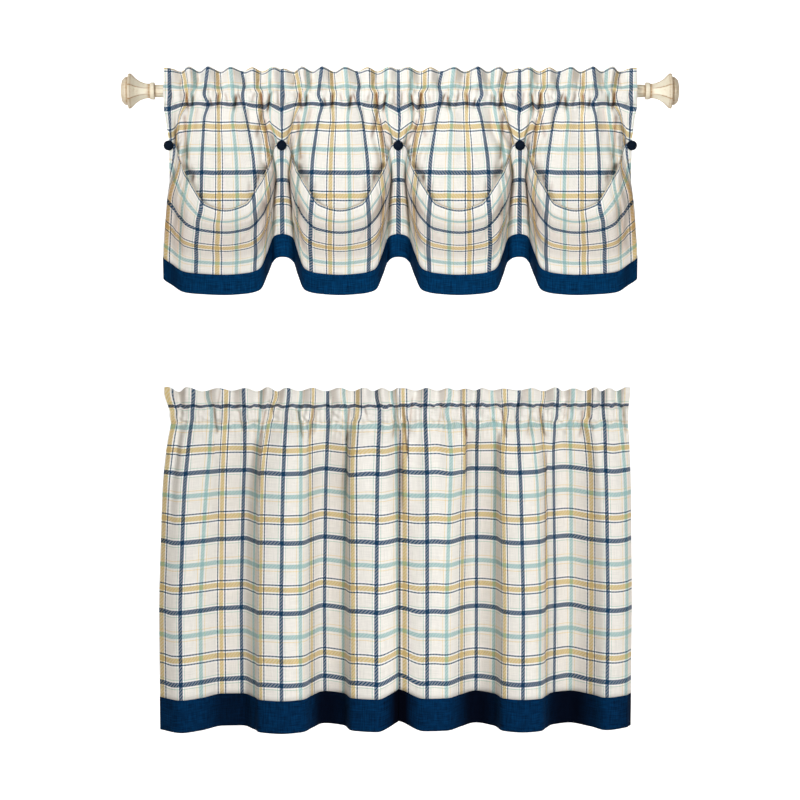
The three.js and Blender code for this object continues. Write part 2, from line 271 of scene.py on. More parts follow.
# Where the edges of flute and fold and the side of the swag stand between their neighbours, the edges in
# crisp rows and in soft ones, and how the two free ends fall and turn
FLUTE_EDGE = {"x": (0.64, 0.55), "y": (0.15, 0.22), "z": (0.15, 0.2)}
FOLD_EDGE = {"x": (0.22, 0.36), "y": (0.72, 0.5), "z": (0.32, 0.42)}
SWAG_SIDE = {"x": 0.37, "y": 0.6, "z": 0.75}
END_FALL = (0.4, 0.45, 0.5, 0.55, 0.6, 0.4, 0)
END_EDGE_DEPTH = 0.6
END_SIDE_LEAD = 0.4

# How far down its cut each front row of the valance lies, from the top fold
FRONT_CUT = {"edge": 345.5, "edge front": 359, "swag top": 411, "swag": 472, "band top": 529, "hem": 567}
VALANCE_NAVY_CUT = 64.5
POUF_TOP_DROP = 24

# How the tiers hang: place across the cut cloth in thirds of the plaid's repeat, width that a third takes
# up there, where it hangs at the top, on the pocket, at the seam, at the upper folds and low down, and the
# depth of its folds at the hem
HANG_COLUMNS = "cut spread top pocket seam upper low y"
TIER_LEVELS = ("top", "pocket", "seam", "upper", "low")
TIER_HANG = {
    "left": table(HANG_COLUMNS, (
        (-1.15, 33, -413, -404, -402, -413, -426, -20),
        (0, 33, -362, -364, -366, -373, -387, -46),
        (1, 33, -338, -331, -331, -335, -353, -28),
        (2, 33, -305, -306, -307, -312, -318, 4),
        (3, 33, -274, -273, -272, -273, -282, 6),
        (4, 22, -243, -245, -247, -252, -259, -20),
        (5, 26, -218, -226, -230, -240, -246, -42),
        (6, 33, -195, -199, -200, -203, -209, -52),
        (7, 33, -174, -177, -175, -173, -176, -42),
        (8, 20, -152, -154, -158, -159, -157, -10),
        (9, 33, -127, -127, -126, -130, -135, 22),
        (10, 28, -99, -95, -95, -94, -101, 8),
        (11, 33, -74, -75, -80, -84, -83, -30),
        (12, 33, -41, -36, -36, -39, -42, -40),
        (13, 24, -15, -11, -8, -7, -5, -14),
        (13.33, 33, -3, 0, 1, 2, 3, 7),
    )),
    "right": table(HANG_COLUMNS, (
        (-1.25, 33, -2, -2, -2, -3, -3, -12),
        (-1, 26, 5, 6, 8, 9, 9, -18),
        (0, 33, 45, 44, 44, 47, 48, -34),
        (1, 33, 87, 82, 86, 90, 82, -30),
        (2, 26, 112, 112, 112, 113, 109, 0),
        (3, 33, 138, 135, 136, 135, 136, 26),
        (4, 30, 161, 163, 165, 168, 167, 6),
        (5, 28, 183, 185, 183, 179, 185, -32),
        (6, 33, 209, 206, 206, 209, 217, -42),
        (7, 24, 227, 228, 229, 238, 247, -34),
        (8, 14, 252, 247, 248, 254, 260, -10),
        (9, 28, 276, 275, 271, 269, 275, 14),
        (10, 33, 303, 301, 298, 301, 305, 26),
        (11, 33, 332, 331, 326, 336, 340, 0),
        (12, 33, 356, 356, 359, 360, 367, -26),
        (13, 33, 384, 386, 387, 394, 402, -8),
        (13.43, 33, 403, 400, 400, 405, 412, 8),
    )),
}
TIER_DROP = table("drop steps ruffle level fold lead", (
    (80, 10, 4, 2.35, 0.3, -8),
    (115, 10, 3.5, 2.8, 0.62, -6),
    (165, 10, 1.8, 3.25, 0.78, -3),
    (270, 14, 0, 3.65, 0.83, 0),
    (410, 14, 0, 4, 0.9, 0),
    (548, 14, 0, 4, 0.99, 0),
    (607, 10, 0, 4, 1, 0),
))

# Peaks of the ruffle along each tier, and how far the plaid of its upper rows is lifted
TIER_PEAKS = {
    "left": (-405, -373, -317, -272, -231, -199, -154, -106, -62, -31, -2),
    "right": (8, 47, 84, 116, 144, 182, 231, 272, 304, 342, 366, 394),
}
TIER_LIFT = {"left": 0, "right": 2.4}

# How much cut cloth hangs below the upper stitching at some drops: it stretches a little by its weight
TIER_ROWS = table("drop cut", (
    (57, 31), (143, 119.5), (390, 357.5), (523, 478.5), (607, 560),
))

# Creases drawn in by the stitching of the tiers: place, slant, half-width, depth and heights
TIER_CREASES = {
    "left": table(CREASE_COLUMNS, (
        (-392, 0.1, 2.6, 7, -545, -590),
        (-324, -0.12, 3.2, 13, -548, -600),
        (-316, 0.2, 2.4, 8, -500, -556),
        (-279, -0.2, 2.6, 9, -552, -598),
        (-241, 0.2, 3.2, 13, -550, -612),
        (-226, -0.3, 2.6, 8, -530, -570),
        (-196, 0.2, 2.4, 7, -540, -575),
        (-176, -0.15, 3, 13, -552, -604),
        (-155, 0.15, 3.2, 14, -545, -610),
        (-120, 0.1, 2.4, 7, -530, -580),
        (-92, 0.1, 3.4, 14, -545, -620),
        (-60, -0.2, 2.4, 7, -540, -580),
        (-10, 0.1, 3, 12, -545, -610),
    )),
    "right": table(CREASE_COLUMNS, (
        (9, -0.1, 3, 12, -545, -640),
        (18, 0.1, 2.6, 10, -530, -610),
        (70, 0.15, 2.6, 8, -540, -590),
        (113, -0.12, 3.4, 14, -545, -610),
        (140, 0.2, 2.4, 7, -535, -575),
        (182, -0.15, 3.2, 13, -550, -606),
        (205, 0.2, 2.4, 8, -530, -580),
        (226, 0.15, 3, 12, -552, -604),
        (249, -0.2, 3, 12, -545, -610),
        (289, 0.15, 2.4, 8, -535, -580),
        (319, 0.1, 3.2, 13, -550, -610),
        (333, -0.2, 2.6, 10, -548, -596),
        (393, -0.1, 3, 10, -545, -600),
    )),
}

# Folds of the tiers that lap over: place, slant, how far the lapping side stands out and its plaid slips,
# and the heights between which each one shows. A negative lead laps to the left.
LAP_COLUMNS = "x slant lead slip top bottom"
TIER_LAPS = {
    "left": table(LAP_COLUMNS, (
        (-325, 0, 4, 2.6, -600, -665),
        (-240, 0.05, 7, 1.5, -590, -720),
        (-91, 0.02, 9, -4.5, -585, -740),
    )),
    "right": table(LAP_COLUMNS, (
        (5, 0, 8, 0, -560, -760),
        (115, 0, -8, -4.5, -575, -710),
        (175, 0, 4, 2.5, -595, -665),
        (258, 0, 7, 5, -620, -1040),
    )),
}


def mix(a, b, share):
    return a + (b - a) * share


def smooth(low, high, value):
    """0 below low, 1 above high and a soft step between."""
    t = np.clip((value - low) / (high - low), 0, 1)
    return t * t * (3 - 2 * t)


def window(places, value):
    """1 between the middle two of four places, with a soft fall to 0 at the outer two."""
    start, full, fading, end = places
    return smooth(start, full, value) * smooth(end, fading, value)


def bell(off, width):
    """1 in the middle of a soft bump, and near 0 at twice its width."""
    return np.exp(-((off / width) ** 2))


def sway(phase, rate, drift, drift_rate, start=0):
    """A wave whose phase drifts to and fro."""
    return np.sin(rate * phase + drift * np.sin(drift_rate * phase) + start)


def uneven(index, seed, rates=(12.9898, 78.233), spread=43758.5453):
    """A fixed number from 0 to 1 for each whole index."""
    return np.modf(np.abs(np.sin(index * rates[0] + seed * rates[1]) * spread))[0]


def curve(xs, ys, at, level_ends=False, slope=None):
    """Smooth curve through points, one for each row of ys, that never overshoots them."""
    xs, ys, at = (np.asarray(values, float) for values in (xs, ys, at))
    shape = (-1,) + (1,) * (ys.ndim - 1)
    spans = np.diff(xs).reshape(shape)
    slopes = np.diff(ys, axis=0) / spans
    before, after = slopes[:-1], slopes[1:]
    agree = before * after > 0
    tangents = np.zeros_like(ys)
    tangents[1:-1] = np.where(agree, 2 * before * after / np.where(agree, before + after, 1), 0)
    if not level_ends:
        tangents[0], tangents[-1] = slopes[0], slopes[-1]
    if slope is not None:
        tangents[:] = slope
    i = np.clip(np.searchsorted(xs, at) - 1, 0, len(xs) - 2)
    t = np.clip((at - xs[i]) / (xs[i + 1] - xs[i]), 0, 1).reshape(shape)
    rise = t * t * (3 - 2 * t)
    bend = t * (1 - t) ** 2 * tangents[i] - t * t * (1 - t) * tangents[i + 1]
    return ys[i] + rise * (ys[i + 1] - ys[i]) + spans[i] * bend


def refine(rows, steps):
    """Adds smooth rows between a cloth's main rows of points. Also gives each row's place among them."""
    lengths = np.linalg.norm(np.diff(rows, axis=0), axis=2).mean(axis=1)
    places = np.concatenate(([0], np.cumsum(lengths)))
    counts = np.concatenate([np.arange(n) / n + i for i, n in enumerate(steps)] + [[len(steps)]])
    at = np.interp(counts, np.arange(len(places)), places)
    return curve(places, rows, at), counts


def at_level(level, columns):
    """Values read between columns, at a level counted from the first one."""
    return np.array([np.interp(level, range(len(row)), row) for row in columns])


def heading_rows(section, x, wave, top_z):
    """Main rows of a gathered heading, from its x in each row and the wave of its ruffle."""
    y, z, ruffle, bump = (section[name][:, None] for name in ("y", "z", "ruffle", "bump"))
    shape = np.broadcast_to(x, (len(y), len(wave)))
    return np.stack((shape, y - ruffle * wave, top_z + z + bump * wave), axis=2)


class Cloth:
    """A hung cloth: a grid of points, each row's place among the main rows, and shade painted into the folds.
    """

    def __init__(self, rows, steps):
        self.points, self.place = refine(np.array(rows), steps)
        self.x, self.y, self.z = (self.points[:, :, axis] for axis in range(3))
        self.shade = np.zeros(self.x.shape)
        self.in_front = ((self.place > TOP_ROW) & (self.place < FRONT_END_ROW))[:, None]

    def fine_row(self, main_row):
        return int(np.searchsorted(self.place, main_row))

    def by_row(self, values):
        """Values of the main rows, read for every row."""
        return np.interp(self.place, range(len(values)), values)[:, None]

    def crease(
        self, off, dark, shown, slant, width, depth, top, bottom,
        soft=2.2, steep=0.75, shaded=0.7, fade_in=14, fade_out=10,
    ):
        """Draws a crease into the cloth, wide on its soft side and narrow on its steep one, and paints shade
        along it.
        """
        off = off - slant * (self.z - (top + bottom) / 2)
        deep = depth * window((bottom, bottom + fade_in, top - fade_out, top), self.z) * shown
        self.y += deep * bell(off, np.where(off * slant > 0, soft, steep) * width)
        self.shade += dark * deep * bell(off, shaded * width)

    def crinkle(self, shown, depth=2.6):
        """Small uneven crinkles where cloth is bunched on its rod."""
        pattern = depth * shown * self.in_front
        for across, up, drift, drift_across, drift_up in CRINKLE_WAVES:
            drifted = drift * np.sin(drift_across * self.x + drift_up * self.z)
            pattern = pattern * np.sin(across * self.x + up * self.z + drifted)
        self.y += pattern

    def stitch(self, off, phase, dark, groove=3, depth=4, pucker=8, height=1.8):
        """Draws a line of stitching into the front, with small puckers on both sides of it, and paints shade
        along its groove.
        """
        drawn = bell(off, groove) * self.in_front
        self.shade += dark * drawn * (1 + sway(phase, *STITCH_SHADE_SWAY))
        self.y += depth * drawn
        self.y -= height * bell(off, pucker) * self.in_front * sway(phase, *PUCKER_SWAY)

    def gather(self, kind, creases, across, scale, level, phase, flank):
        """Creases, crinkles and puckers of a heading, with painted shade on one flank of each ruffle.

        Creases stop softly at a depth for each row, so the front stays clear of what is behind it.
        """
        before = self.y.copy()
        for spot, *shape in zip(*creases.values()):
            self.crease((across - spot) * scale, CREASE_SHADE[kind], self.in_front, *shape)
        self.crinkle(window(CRINKLED[kind], level))
        for row, _, dark in STITCHES[kind]:
            self.stitch(level - HEADINGS[kind]["cut"][row], phase, dark)
        room = np.interp(self.place, CREASE_ROOM["row"], CREASE_ROOM[kind])[:, None]
        push = self.y - before
        self.y[:] = before + np.where(push > 0, room * np.tanh(push / room), push)
        self.shade += RUFFLE_SHADE * flank * smooth(*RUFFLED[kind], level) * self.in_front


# Materials


def linear(hex_colour):
    """Linear colour with alpha from a six-digit hex colour."""
    values = [int(hex_colour[i:i + 2], 16) / 255 for i in (0, 2, 4)]
    return (*[v / 12.92 if v <= 0.04045 else ((v + 0.055) / 1.055) ** 2.4 for v in values], 1)


class Nodes:
    """A material's nodes, joined by short calls."""

    def __init__(self, name):
        self.material = bpy.data.materials.new(name)
        self.material.use_nodes = True
        self.tree = self.material.node_tree
        self.shader = self.tree.nodes["Principled BSDF"]

    def add(self, kind, inputs=(), **settings):
        node = self.tree.nodes.new(kind)
        for name, value in settings.items():
            setattr(node, name, value)
        for socket, value in dict(inputs).items():
            self.set(node.inputs[socket], value)
        return node

    def set(self, socket, value):
        if isinstance(value, bpy.types.NodeSocket):
            self.tree.links.new(value, socket)
        else:
            socket.default_value = value

    def math(self, operation, a, b=0.0):
        return self.add("ShaderNodeMath", {0: a, 1: b}, operation=operation).outputs[0]

    def blend(self, share, a, b, mode="MIX"):
        node = self.add("ShaderNodeMix", data_type="RGBA", blend_type=mode)
        for socket, value in ((0, share), (6, a), (7, b)):
            self.set(node.inputs[socket], value)
        return node.outputs[2]

    def place(self, x, y, z=0.0):
        return self.add("ShaderNodeCombineXYZ", {0: x, 1: y, 2: z}).outputs[0]

    def noise(self, vector, scale, detail=2.0):
        inputs = {"Vector": vector, "Scale": scale, "Detail": detail}
        return self.add("ShaderNodeTexNoise", inputs).outputs["Fac"]

    def split(self, vector):
        return self.add("ShaderNodeSeparateXYZ", {0: vector}).outputs

    def attribute(self, name):
        return self.add("ShaderNodeAttribute", attribute_name=name).outputs["Fac"]

    def spot(self):
        return self.add("ShaderNodeTexCoord").outputs["Object"]

    def range(self, value, span, to=(0.0, 1.0)):
        inputs = {0: value, 1: span[0], 2: span[1], 3: to[0], 4: to[1]}
        return self.add("ShaderNodeMapRange", inputs).outputs[0]

    def finish(self, colour, roughness, height=None, depth=0.0, strength=1.0, **constants):
        self.set(self.shader.inputs["Base Color"], colour)
        self.set(self.shader.inputs["Roughness"], roughness)
        for name, value in constants.items():
            self.shader.inputs[name.replace("_", " ")].default_value = value
        if height is not None:
            inputs = {"Height": height, "Distance": depth, "Strength": strength}
            bump = self.add("ShaderNodeBump", inputs)
            self.set(self.shader.inputs["Normal"], bump.outputs[0])
        return self.material


# Colours of yarns, of shade painted into folds, of bands, buttons and paint
GROUND = "f0ece5"
BRIGHT = "fffefa"
NAVY = "003e62"
TEAL = "a2c3c2"
GOLD = "d6bd80"
PALE_TEAL = "c3d4c6"
PALE_GOLD = "ead8ac"
DARK_LINE = "1c4463"
PAINTED_FOLD_SHADE = "a6795a"
# Painted shade: the darkest colour of the navy band in its folds
PAINTED_BAND_SHADE = "00020e"
VALANCE_BAND_YARNS = ("001028", "003f6c")
# The tier band is the same cloth as the valance band, painted darker to stand for the shade it hangs in
TIER_BAND_SHADED_YARNS = ("000a20", "00355f")
BUTTON_YARNS = ("000713", "021428")
CREAM = ("f3ecd8", "e8dcc0")
RUBBED = "c4a178"
GLAZE = "a3763a"

# Stripes of one repeat: centre as a share of the repeat, and yarns on both sides of it by offset and width
STRIPES = (
    (1 / 2, ((0, 7.8, NAVY), (5.2, 2.6, BRIGHT), (7.5, 1.6, PALE_TEAL))),
    (5 / 6, ((0, 7.4, TEAL), (8.2, 1.6, PALE_GOLD))),
    (1 / 6, ((0, 8.4, GOLD), (5.4, 2.4, BRIGHT), (7.8, 2.4, DARK_LINE), (10.1, 2.2, BRIGHT))),
)


def yarn_ramp(nodes, along):
    """Colour of the yarn at a distance in metres across the cloth."""
    repeats = nodes.math("MULTIPLY", along, 1 / (PLAID_REPEAT * MM))
    share = nodes.math("FRACT", nodes.math("ADD", repeats, 0.5))
    ramp = nodes.add("ShaderNodeValToRGB", {0: share})
    stops = ramp.color_ramp
    stops.interpolation = "CONSTANT"
    stops.elements[0].color = linear(GROUND)
    stops.elements.remove(stops.elements[1])
    edges = set()
    for centre, yarns in STRIPES:
        for offset, width, colour in yarns:
            for middle in (centre - offset / PLAID_REPEAT, centre + offset / PLAID_REPEAT):
                edges.add((middle - width / 2 / PLAID_REPEAT, colour))
                edges.add((middle + width / 2 / PLAID_REPEAT, GROUND))
    # Where one yarn ends and the next starts, no ground shows
    starts = {round(place, 5) for place, colour in edges if colour != GROUND}
    for place, colour in sorted(edges):
        if colour != GROUND or round(place, 5) not in starts:
            stops.elements.new(place).color = linear(colour)
    return ramp.outputs[0]


def cloth_nodes(name, stretch, scale=40.0):
    """Starts a cloth's material. Also gives the place on its flat cut and the slub of its yarns there."""
    nodes = Nodes(name)
    across, down, _ = nodes.split(nodes.add("ShaderNodeUVMap", uv_map="cut").outputs[0])
    warp = nodes.noise(nodes.place(nodes.math("MULTIPLY", across, stretch), down), scale)
    weft = nodes.noise(nodes.place(across, nodes.math("MULTIPLY", down, stretch)), scale)
    return nodes, across, down, nodes.math("ADD", warp, weft)


def plaid_material(slub_height=1.5):
    """Linen-look twill: warp and weft yarns change places on a diagonal. Shade is painted into its colour in
    the folds.
    """
    nodes, across, down, slub = cloth_nodes("plaid_cloth", stretch=26.0)
    warp, weft = yarn_ramp(nodes, across), yarn_ramp(nodes, down)
    pitch = 1 / (TWILL_PITCH * MM)
    ends = nodes.math("FLOOR", nodes.math("MULTIPLY", across, pitch))
    picks = nodes.math("FLOOR", nodes.math("MULTIPLY", down, pitch))
    turn = nodes.math("FRACT", nodes.math("MULTIPLY", nodes.math("ADD", ends, picks), 1 / TWILL_ENDS))
    warp_up = nodes.math("LESS_THAN", turn, 0.5)
    # A coloured yarn shows through a pale one that crosses it, and two coloured ones deepen
    multiplied = nodes.blend(1.0, warp, weft, "MULTIPLY")
    deepened = nodes.blend(0.5, multiplied, nodes.blend(1.0, warp, weft, "DARKEN"))
    woven = nodes.blend(HATCH, deepened, nodes.blend(warp_up, weft, warp))
    shade = nodes.range(slub, span=(0.6, 1.4), to=(0.86, 1.11))
    tinted = nodes.blend(1.0, woven, nodes.place(shade, shade, shade), "MULTIPLY")
    # Painted shade: the fold attribute darkens the cloth towards brown in creases, valleys and on flanks
    # turned from the light
    in_painted_shade = nodes.blend(1.0, tinted, linear(PAINTED_FOLD_SHADE), "MULTIPLY")
    colour = nodes.blend(nodes.attribute("fold"), tinted, in_painted_shade)
    height = nodes.math("ADD", warp_up, nodes.math("MULTIPLY", slub, slub_height))
    return nodes.finish(
        colour, roughness=0.9, height=height, depth=0.25 * MM, strength=0.5,
        Sheen_Weight=0.12, Sheen_Roughness=0.6, Specular_IOR_Level=0.2,
    )


def band_material(name, yarns):
    """Plain navy cloth of slubby yarns, with shade painted into its colour in the folds."""
    nodes, _, _, slub = cloth_nodes(name, stretch=14.0)
    dark, light = (linear(yarn) for yarn in yarns)
    woven = nodes.blend(nodes.range(slub, span=(0.6, 1.4)), dark, light)
    # Painted shade: the fold attribute darkens the band in its folds
    colour = nodes.blend(nodes.attribute("fold"), woven, linear(PAINTED_BAND_SHADE))
    return nodes.finish(
        colour, roughness=0.9, height=slub, depth=0.5 * MM, strength=0.5, Specular_IOR_Level=0.05
    )


def button_material():
    """Dark navy cloth drawn tight over a button."""
    nodes = Nodes("button_cloth")
    weave = nodes.noise(nodes.spot(), scale=1400.0)
    dark, light = (linear(yarn) for yarn in BUTTON_YARNS)
    colour = nodes.blend(nodes.range(weave, span=(0.35, 0.65)), dark, light)
    return nodes.finish(
        colour, roughness=0.8, height=weave, depth=0.3 * MM, strength=0.6, Specular_IOR_Level=0.12
    )


def wood_material(stretch=0.15, rubbed_share=0.5):
    """Cream paint with a brown glaze left in the grooves and rubbed along the grain of the pole."""
    nodes = Nodes("rod_wood")
    spot = nodes.spot()
    x, y, z = nodes.split(spot)
    grain = nodes.noise(nodes.place(nodes.math("MULTIPLY", x, stretch), y, z), scale=420.0, detail=4.0)
    blotch = nodes.noise(spot, scale=60.0, detail=3.0)
    in_grain, in_blotch = nodes.range(grain, span=(0.48, 0.75)), nodes.range(blotch, span=(0.4, 0.7))
    rubbed = nodes.math("MULTIPLY", nodes.math("MULTIPLY", in_grain, in_blotch), rubbed_share)
    cream = nodes.blend(blotch, *(linear(paint) for paint in CREAM))
    worn = nodes.blend(rubbed, cream, linear(RUBBED))
    pooled = nodes.range(grain, span=(0.25, 0.6), to=(0.55, 1.0))
    colour = nodes.blend(nodes.math("MULTIPLY", nodes.attribute("glaze"), pooled), worn, linear(GLAZE))
    return nodes.finish(
        colour, roughness=0.5, height=grain, depth=0.2 * MM, strength=0.3, Specular_IOR_Level=0.35
    )


# Mesh making


def new_object(name, data):
    thing = bpy.data.objects.new(name, data)
    bpy.context.collection.objects.link(thing)
    return thing


def smooth_mesh(name, points, faces, material):
    mesh = bpy.data.meshes.new(name)
    mesh.from_pydata(points, [], faces)
    mesh.polygons.foreach_set("use_smooth", np.ones(len(faces), bool))
    mesh.materials.append(material)
    return mesh


def mesh_piece(name, points, faces, material, nodes, attributes, cut=None):
    """A smooth mesh that stands for some nodes of the frame. Points are in millimetres."""
    mesh = smooth_mesh(name, (points * MM).tolist(), list(faces), material)
    if cut is not None:
        corners = np.empty(len(mesh.loops), np.int32)
        mesh.loops.foreach_get("vertex_index", corners)
        places = cut[corners].reshape(-1, 4, 2)
        # Left of the middle stripe the plaid is mirrored
        places[places[:, :, 0].mean(axis=1) < -MIRROR_FROM, :, 0] *= -1
        layer = mesh.uv_layers.new(name="cut")
        layer.data.foreach_set("uv", (places * MM).astype(np.float32).ravel())
    for key, values in attributes.items():
        layer = mesh.attributes.new(key, "FLOAT", "POINT")
        layer.data.foreach_set("value", values.astype(np.float32))
    mesh.update()
    piece = new_object(name, mesh)
    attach(piece, "root")
    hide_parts(*nodes)
    return piece


def grid_faces(rows, columns, start=0, flip=False):
    """Quads between the rows and columns of a grid of points."""
    index = start + np.arange(rows * columns).reshape(rows, columns)
    corners = [index[:-1, :-1], index[:-1, 1:], index[1:, 1:], index[1:, :-1]]
    faces = np.stack(corners, axis=2).reshape(-1, 4)
    return faces[:, ::-1] if flip else faces


def thin_sheet(points, thickness):
    """Both faces and the rim of a sheet of cloth on a grid of points."""
    rows, columns = points.shape[:2]
    along = np.gradient(points, axis=1)
    down = np.gradient(points, axis=0)
    normals = np.cross(along, down)
    normals /= np.linalg.norm(normals, axis=2, keepdims=True)
    front = points + normals * thickness / 2
    back = points - normals * thickness / 2
    count = rows * columns
    index = np.arange(count).reshape(rows, columns)
    rim = np.concatenate((index[:-1, 0], index[-1, :-1], index[:0:-1, -1], index[0, :0:-1]))
    ahead = np.roll(rim, -1)
    rim_faces = np.stack((rim, ahead, ahead + count, rim + count), axis=1)
    faces = np.concatenate((
        grid_faces(rows, columns),
        grid_faces(rows, columns, count, flip=True),
        rim_faces,
    ))
    return np.concatenate((front.reshape(-1, 3), back.reshape(-1, 3))), faces


def cloth_piece(name, points, cut, shade, thickness, material, nodes):
    vertices, faces = thin_sheet(points, thickness)
    flat = cut.reshape(-1, 2)
    # The fold attribute carries the shade painted into the cloth's colour
    folds = {"fold": np.clip(np.tile(shade.ravel(), 2), 0, 1)}
    return mesh_piece(name, vertices, faces, material, nodes, folds, np.concatenate((flat, flat)))


def add_cloth(name, nodes, cloth, cut, band, band_shade, materials):
    """Makes a cloth's plaid sheet and the band sewn along its lower edge, from the band's row down."""
    plaid, navy = materials
    sheet = cloth_piece(
        f"{name}_sheet", cloth.points[:band + 1], cut[:band + 1], cloth.shade[:band + 1],
        CLOTH_THICKNESS, plaid, nodes,
    )
    hem = cloth_piece(
        f"{name}_hem_band", cloth.points[band:], cut[band:], cloth.shade[band:] + band_shade,
        BAND_THICKNESS, navy, [f"{name}_band"],
    )


# Valance


def with_edge(values, axis, soft):
    """Adds the edges on both sides of a valley: of the flute below a button, and of the fold beside it.

    A soft row turns over them in a smooth curve.
    """
    button, valley, shoulder, middle = values
    flute = mix(button, valley, mix(*FLUTE_EDGE[axis], soft))
    fold = mix(valley, shoulder, mix(*FOLD_EDGE[axis], soft))
    return [button, flute, valley, fold, shoulder, mix(shoulder, middle, SWAG_SIDE[axis]), middle]


def station_values(axis, row, at_end, end_flute=0.5, end_fold=0.4):
    """Depth or height of a drape row at the stations, at an inner half-bay or at a free end."""
    values = [VALANCE_DRAPE[f"{axis}{i}"][row] for i in range(4)]
    inner = with_edge(values, axis, VALANCE_DRAPE["soft"][row])
    if not at_end:
        return inner
    _, valley, shoulder, middle = values
    if axis == "y":
        near = mix(valley, shoulder, END_SIDE_LEAD)
        outer = valley * END_EDGE_DEPTH
        freed = [outer, mix(outer, near, end_flute), near, mix(near, shoulder, end_fold), *inner[4:]]
    else:
        freed = [mix(value, middle, fall) for value, fall in zip(inner, END_FALL)]
    return [mix(a, b, VALANCE_DRAPE["open"][row]) for a, b in zip(inner, freed)]


def valance_columns(samples=4001, reach=0.02, share=1.5, tiny=1e-9):
    """Where each column of the valance's cloth lies: in which bay, and how far across it.

    Columns stand closer by a share within reach of the heading's creases.
    """
    bays = len(BUTTON_X) - 1
    sample = np.linspace(0, 1, samples)
    from_outer = np.mod(np.minimum(sample, 1 - sample) * bays, 1)
    near = [bell(from_outer - spot, reach) for spot in CREASES["place"]]
    crowd = np.cumsum(1 + share * np.max(near, axis=0))
    across = np.interp(np.linspace(crowd[0], crowd[-1], VALANCE_COLUMNS), crowd, sample)
    bay = np.minimum((across * bays + tiny).astype(int), bays - 1)
    in_bay = across * bays - bay
    on_left = bay < bays / 2
    from_outer = np.where(on_left, in_bay, 1 - in_bay)
    outer_bay = (bay == 0) | (bay == bays - 1)
    extra = np.where(outer_bay, END_THIRDS, 0)
    buttons = np.array(BUTTON_X, float)
    outer_x = np.where(on_left, buttons[bay], buttons[bay + 1])
    inner_x = np.where(on_left, buttons[bay + 1], buttons[bay])
    return {
        "repeats": np.interp(across, np.arange(bays + 1) / bays, VALANCE_REPEATS),
        "bay": bay,
        "bay_width": np.abs(inner_x - outer_x),
        "mirrored": in_bay > 0.5,
        "half": np.minimum(in_bay, 1 - in_bay),
        "at_end": outer_bay & (from_outer < 0.5),
        "thirds": (BAY_THIRDS + extra) * from_outer - extra,
        "outer_x": outer_x,
        "inner_x": inner_x,
        "button_x": np.where(in_bay > 0.5, buttons[bay + 1], buttons[bay]),
    }


def valance_rows(column):
    """Main rows of the valance: its heading, then the rows of its drape."""
    stripes = np.stack([HEADING_STRIPES[name] for name in ("top", "stitch", "pocket", "seam")], axis=1)
    shares = curve(HEADING_STRIPES["cut"], stripes, column["thirds"], slope=STRIPE_SLOPE)
    share = np.array([at_level(level, shares) for level in VALANCE_HEADING["level"]])
    heading_x = mix(column["outer_x"], column["inner_x"], share)
    wave = curve(*RUFFLE.values(), shares[:, 0], level_ends=True)
    rows = list(heading_rows(VALANCE_HEADING, heading_x, wave, 0))

    even = np.linspace(-VALANCE_HALF_WIDTH, VALANCE_HALF_WIDTH, len(BUTTON_X))
    bay, half, at_end = column["bay"], column["half"], column["at_end"]
    keys = ("ruffle", "pull", "open", "soft", "x1", "x2")
    for row, name in enumerate(VALANCE_DRAPE["name"]):
        ruffle, pull, free, soft, x1, x2 = (VALANCE_DRAPE[key][row] for key in keys)
        stations = STATION_CUT if VALANCE_ROW[name] >= VALANCE_ROW["edge"] else POUF_STATION_CUT
        inner = with_edge((0, x1, x2, 0.5), "x", soft)
        outer = [mix(a, b, free) for a, b in zip(inner, STATION_AT_END)]
        share = np.where(at_end, curve(stations, outer, half), curve(stations, inner, half))
        share = np.where(column["mirrored"], 1 - share, share)
        ends = mix(even, np.array(BUTTON_X, float), pull)
        x = mix(ends[bay], ends[bay + 1], share)
        y, z = (
            np.where(
                at_end,
                curve(stations, station_values(axis, row, True), half, level_ends=True),
                curve(stations, station_values(axis, row, False), half, level_ends=True),
            )
            for axis in "yz"
        )
        rows.append(np.stack((x, y - ruffle * wave, z), axis=1))
    return rows


def valance_cut(
    cloth, column, across, level,
    drawn=16, reach=18, fade_z=-30, sag_levels=(28, 62), line_levels=(22, -8),
):
    """How far down the cut each point lies: level rows in the heading and in front, true lengths between.

    The rows sag below the pocket and are drawn down by each button.
    """
    section = VALANCE_HEADING["cut"]
    lengths = np.linalg.norm(np.diff(cloth.points, axis=0), axis=2)
    along = np.concatenate((np.zeros((1, lengths.shape[1])), np.cumsum(lengths, axis=0)))
    from_seam = along - along[cloth.fine_row(SEAM_ROW)]
    by_button = drawn * bell(cloth.x - column["button_x"], reach)
    sag = mix(np.interp(across, *SEAM_SAG.values()), by_button, smooth(fade_z, BUTTON_Z, cloth.z))
    line = np.interp(across, *TOP_LINE.values())
    down = np.where((cloth.place <= SEAM_ROW)[:, None], level, section[-1] + from_seam)
    down -= sag * smooth(*sag_levels, level) + line * smooth(*line_levels, level)
    # The stitched rows are drawn up and down by the gathers
    gathers = curve(*RUFFLE.values(), across.ravel(), level_ends=True).reshape(down.shape)
    for row, swing, _ in STITCHES["valance"]:
        down += swing * bell(level - section[row], STITCH_REACH) * cloth.in_front * gathers
    hidden, edge = (cloth.fine_row(VALANCE_ROW[name]) for name in ("tuck end behind", "edge"))
    share = (along[hidden:edge + 1] - along[hidden]) / (along[edge] - along[hidden])
    down[hidden:edge + 1] = mix(down[hidden], FRONT_CUT["edge"], share)
    front_rows = [VALANCE_ROW[name] for name in FRONT_CUT]
    down[edge:] = np.interp(cloth.place[edge:], front_rows, list(FRONT_CUT.values()))[:, None]
    return down


def below(cloth, name):
    """True in a main row of the drape and below it."""
    return (cloth.place >= VALANCE_ROW[name])[:, None]


def drape_values(cloth, name):
    """A column of the drape's table for each row of the cloth, from 0 at the seam."""
    return np.interp(cloth.place, [SEAM_ROW, *VALANCE_ROW.values()], [0, *VALANCE_DRAPE[name]])[:, None]


